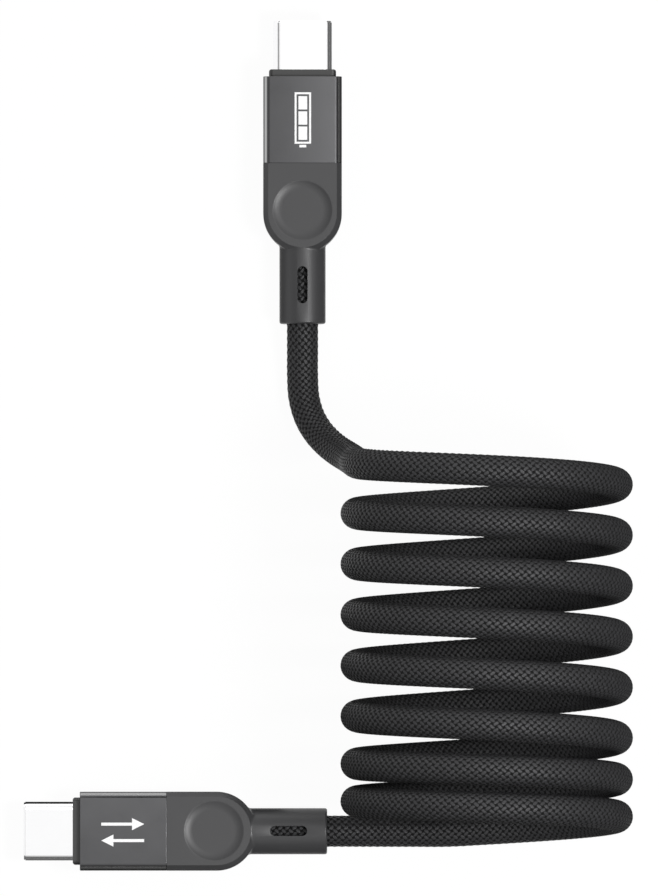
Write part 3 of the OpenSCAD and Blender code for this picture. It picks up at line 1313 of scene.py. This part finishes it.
@dataclass(frozen=True)
class Lamp:
    """A soft lamp that points at the cable.

    Attributes:
        name: its name.
        azimuth: its direction around Z, in degrees from +X.
        elevation: its height above the table, in degrees.
        distance: how far it is from the cable.
        size: the side of its square face.
        power: its power.
    """

    name: str
    azimuth: float
    elevation: float
    distance: float
    size: float
    power: float

    def build(self, aim: Vector) -> None:
        """Hangs the lamp and points it.

        Args:
            aim: the point that it points at.
        """
        light = bpy.data.lights.new(self.name, "AREA")
        light.energy = self.power
        light.size = self.size
        lamp = bpy.data.objects.new(self.name, light)
        bpy.context.scene.collection.objects.link(lamp)
        away = direction(self.azimuth, self.elevation)
        lamp.location = aim + away * self.distance
        lamp.rotation_euler = away.to_track_quat("Z", "Y").to_euler()
        lamp.visible_camera = False


def direction(azimuth: float, elevation: float) -> Vector:
    """Returns the unit vector of an azimuth from +X and an elevation, in degrees."""
    a, e = math.radians(azimuth), math.radians(elevation)
    return Vector((math.cos(a) * math.cos(e), math.sin(a) * math.cos(e), math.sin(e)))


class Glow(Enum):
    """How bright a studio panel is to the reflections that see it; white paper is 1."""

    BLACK = 0.02
    DARK = 0.14
    DIM = 0.35
    SOFT = 0.6
    BOX = 2.0
    STRIP = 2.4


@dataclass(frozen=True)
class Panel:
    """A curved panel of the studio that only reflections see.

    Attributes:
        name: its name.
        azimuth: the middle of its span around Z, in degrees from +X.
        low: the elevation of its lower edge, in degrees.
        high: the elevation of its upper edge, in degrees.
        glow: its brightness.
        half_span: half of its span around Z, in degrees.
        distance: how far it stands from the cable.
        steps: the number of faces along each of its sides.
    """

    name: str
    azimuth: float
    low: float
    high: float
    glow: Glow
    half_span: float = 45.0
    distance: float = 1.2
    steps: int = 6

    def build(self, aim: Vector) -> None:
        """Stands the panel up.

        Args:
            aim: the point that it curves around.
        """
        work = bmesh.new()
        rows = [
            [work.verts.new(aim + self.distance * direction(
                self.azimuth + self.half_span * (2 * j / self.steps - 1),
                self.low + (self.high - self.low) * i / self.steps)) for j in range(self.steps + 1)]
            for i in range(self.steps + 1)
        ]
        for row, above in zip(rows, rows[1:]):
            for j in range(self.steps):
                work.faces.new((row[j], above[j], above[j + 1], row[j + 1]))
        show_in_reflections(self.name, work, self.glow)


@dataclass(frozen=True)
class TableCard:
    """A flat card, on the table or hung over it, that only reflections see.

    Attributes:
        name: its name.
        low: the corner with the lowest x and y, in millimetres.
        high: the opposite corner, in millimetres.
        glow: its brightness.
        lift: its height over the table.
    """

    name: str
    low: tuple[float, float]
    high: tuple[float, float]
    glow: Glow = Glow.DARK
    lift: float = 0.05 * MM

    def build(self) -> None:
        """Lays the card."""
        (x0, y0), (x1, y1) = self.low, self.high
        work = bmesh.new()
        work.faces.new([work.verts.new((x * MM, y * MM, self.lift))
                        for x, y in ((x0, y0), (x1, y0), (x1, y1), (x0, y1))])
        show_in_reflections(self.name, work, self.glow)


def show_in_reflections(name: str, work: bmesh.types.BMesh, glow: Glow) -> None:
    """Makes a panel of the studio that neither the camera nor any soft light sees.

    Args:
        name: the panel's name.
        work: its mesh, which is freed.
        glow: its brightness.
    """
    cloth = Surface(name)
    light = cloth.node("ShaderNodeEmission", {}, {"Color": grey(1.0), "Strength": glow.value})
    cloth.node("ShaderNodeOutputMaterial", {}, {"Surface": light.outputs[0]})
    panel = new_object(name, meshed(name, work, cloth.material))
    panel.visible_camera = False
    panel.visible_diffuse = False
    panel.visible_shadow = False


@dataclass
class Studio:
    """Camera, lamps, panels and the white table.

    Attributes:
        elevation: the camera's height above the table, in degrees.
        distance: how far the camera stands off.
        picture: the photograph's size in pixels.
        scale: pixels to the millimetre.
        middle: the point that the middle of the picture shows, in millimetres.
        ambient: how bright the sky is that lights things, against the white that the camera sees.
        table_glow: the share of plain white in the table that the camera sees.
        table_paint: the share of light that the table gives back to the cable.
        paint: the level of the table's paint.
        table_half: half of the table's side.
        table_top: the height of the table, just clear of the plugs' undersides.
        overhead: the heights in the sky between which its light comes up.
        view_reach: how far the camera sees, in its own distances.
        lamps: the lamps.
        panels: the panels around the cable.
        cards: the cards on and over the table.
    """

    elevation: float = 88.55
    distance: float = 4.2
    picture: tuple[int, int] = (659, 896)
    scale: float = 7.14
    middle: tuple[float, float, float] = (20.53, -0.33, 3.25)
    ambient: float = 0.8
    table_glow: float = 0.955
    table_paint: float = 0.22
    paint: float = 0.95
    table_half: float = 3.0
    table_top: float = -0.02 * MM
    overhead: tuple[float, float] = (-0.2, 0.9)
    view_reach: float = 4.0
    lamps: tuple[Lamp, ...] = (
        Lamp("key_lamp", azimuth=-20, elevation=60, distance=0.42, size=0.10, power=1.2),
    )
    panels: tuple[Panel, ...] = (
        Panel("left_gap", azimuth=180, low=35, high=58, glow=Glow.DIM),
        Panel("top_box", azimuth=45, low=60, high=85, glow=Glow.BOX, half_span=60.0),
        Panel("back_strip", azimuth=90, low=0.5, high=24, glow=Glow.STRIP),
        Panel("right_wall", azimuth=0, low=0.5, high=33, glow=Glow.DARK),
        Panel("front_wall", azimuth=270, low=0.5, high=24, glow=Glow.DARK),
        Panel("front_gap", azimuth=270, low=24, high=40, glow=Glow.SOFT),
    )
    cards: tuple[TableCard, ...] = (
        TableCard("right_card", (22.6, -58), (900, 900)),
        TableCard("front_card", (-900, -900), (900, -59.8)),
        TableCard("shell_card", (-60, -50), (-15.4, -20), Glow.BLACK),
        TableCard("neck_card", (-80, 10), (11, 33), Glow.DIM),
        TableCard("grip_card", (-1, -48), (14, -22), Glow.BLACK),
        TableCard("hung_card", (-14.4, -31), (8, 25), Glow.BLACK, lift=40 * MM),
    )

    def build_camera(self) -> None:
        """Stands the camera, a long lens that looks almost straight down."""
        scene = bpy.context.scene
        camera = bpy.data.cameras.new("camera")
        camera.sensor_fit = "AUTO"
        seen = max(self.picture) / self.scale * MM
        camera.lens = camera.sensor_width * self.distance / seen
        camera.clip_end = self.view_reach * self.distance
        eye = bpy.data.objects.new("camera", camera)
        scene.collection.objects.link(eye)
        eye.location = Vector(self.middle) * MM + self.distance * direction(270, self.elevation)
        eye.rotation_euler = (math.radians(90 - self.elevation), 0, 0)
        scene.camera = eye

    def build_world(self) -> None:
        """Lights the world: white to the camera and to reflections, brightest overhead otherwise."""
        world = bpy.data.worlds.new("studio")
        bpy.context.scene.world = world
        world.use_nodes = True
        tree = Tree(world.node_tree)
        world.node_tree.nodes.clear()
        seen = self.shown_rays(tree)
        height = tree.field("ShaderNodeTexCoord", output="Generated").part(2)
        overhead = height.rise(*self.overhead) * self.ambient
        light = tree.node("ShaderNodeBackground", {},
                          {"Color": grey(1.0), "Strength": seen + (1 - seen) * overhead})
        tree.node("ShaderNodeOutputWorld", {}, {"Surface": light.outputs[0]})

    @staticmethod
    def shown_rays(tree: Tree) -> Field:
        """Tells the rays that show the background from those that light things.

        Args:
            tree: the tree.

        Returns:
            1 for the first and 0 for the second.
        """
        rays = tree.node("ShaderNodeLightPath").outputs
        both = Field(tree, rays["Is Camera Ray"]) + Field(tree, rays["Is Glossy Ray"])
        return tree.math("MINIMUM", both + Field(tree, rays["Is Transmission Ray"]), 1.0)

    def build_table(self) -> None:
        """Lays the white table, which keeps a faint shadow."""
        half, low = self.table_half, self.table_top
        mesh = bpy.data.meshes.new("table")
        mesh.from_pydata([(-half, -half, low), (half, -half, low), (half, half, low),
                          (-half, half, low)], [], [(0, 1, 2, 3)])
        table = new_object("table", mesh)
        surface = Surface("white_table")
        paint = surface.node("ShaderNodeBsdfDiffuse", {}, {"Color": grey(self.paint)})
        shown = self.shown_rays(surface)
        glow = surface.node("ShaderNodeEmission", {}, {
            "Color": surface.mix(shown, grey(0.0), grey(1.0)), "Strength": 1.0})
        share = shown * self.table_glow + (1 - shown) * (1 - self.table_paint)
        both = surface.node("ShaderNodeMixShader", {},
                            {0: share, 1: paint.outputs[0], 2: glow.outputs[0]})
        surface.node("ShaderNodeOutputMaterial", {}, {"Surface": both.outputs[0]})
        mesh.materials.append(surface.material)

    def build(self) -> None:
        """Builds the whole studio."""
        bpy.context.scene.view_settings.view_transform = "Standard"
        aim = Vector(self.middle) * MM
        self.build_camera()
        self.build_table()
        self.build_world()
        for lamp in self.lamps:
            lamp.build(aim)
        for panel in self.panels:
            panel.build(aim)
        for card in self.cards:
            card.build()


def make_finishes() -> dict[str, bpy.types.Material]:
    """Makes every material of the plugs.

    Returns:
        The materials by the name that a plug knows them by.
    """
    drawn = (6.0, 0.4, 6.0)     # a grain that is drawn out along Y
    finishes = {
        "nickel": Metal("nickel_plate", grey(0.97, 0.003), roughness=0.1, grain=0.1 * MM,
                        relief=0.0002 * MM, stretch=drawn, stain=0.01),
        "gold": Metal("gold_plate", (0.86, 0.62, 0.24, 1), roughness=0.22),
        "spring": Metal("spring_steel", grey(0.55), roughness=0.3, stretch=drawn),
        "can": Metal("can_steel", grey(0.6), roughness=0.35, stretch=drawn),
        "copper": Metal("crimped_copper", (0.72, 0.36, 0.2, 1), roughness=0.35),
        "sleeve": Metal("gunmetal_anodised", grey(0.099, 0.015), roughness=0.3, grain=0.05 * MM,
                        relief=0.0008 * MM, polish=0.42, crown=0.2 * MM),
        "mouth": Moulding("mouth_plastic", grey(0.02), roughness=0.45),
        "collar": Moulding("collar_plastic", grey(0.026), roughness=0.36),
        "grip": Moulding("grip_plastic", grey(0.042, 0.02), roughness=0.4, specular=0.42),
        "chip": Moulding("chip_case", grey(0.02), roughness=0.5),
        "ceramic": Moulding("ceramic", (0.42, 0.3, 0.18, 1), roughness=0.6),
        "filling": Moulding("filling", (0.62, 0.6, 0.54, 1), roughness=0.4, softness=0.3),
        "red_wire": Moulding("red_insulation", (0.5, 0.03, 0.025, 1), roughness=0.35),
        "white_wire": Moulding("white_insulation", (0.72, 0.72, 0.7, 1), roughness=0.35),
        "board": BoardFinish("board_mask"),
        "ink": Ink("white_ink", grey(0.86)),
    }
    return {name: finish.build() for name, finish in finishes.items()}


def make_marks() -> dict[End, Mark]:
    """Makes the two generic printed marks: a battery on plug a, two arrows on plug b.

    Returns:
        The mark of each end's plug.
    """
    battery = battery_mark(length=7.2, width=2.3, stroke=0.27, bars=3)
    arrows = arrow_mark(length=6.0, gap=2.3, stroke=0.42, head=1.7)
    return {
        End.A: Mark("battery_mark", tuple(battery), centre=(16.8, 45.8), quarter_turns=3),
        End.B: Mark("arrow_mark", tuple(arrows), centre=(-8.4, -54.2)),
    }


def main() -> None:
    """Builds the studio, the cord and the two plugs."""
    logging.basicConfig(level=logging.INFO, format="%(name)s: %(message)s")
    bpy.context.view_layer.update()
    Studio().build()
    cord = Cord()
    cord.build(Braid("braid", cord.gaps_round, cord.period).build())
    finishes = make_finishes()
    for end, mark in make_marks().items():
        Plug(end, finishes, mark).build()


if __name__ == "__main__":
    main()
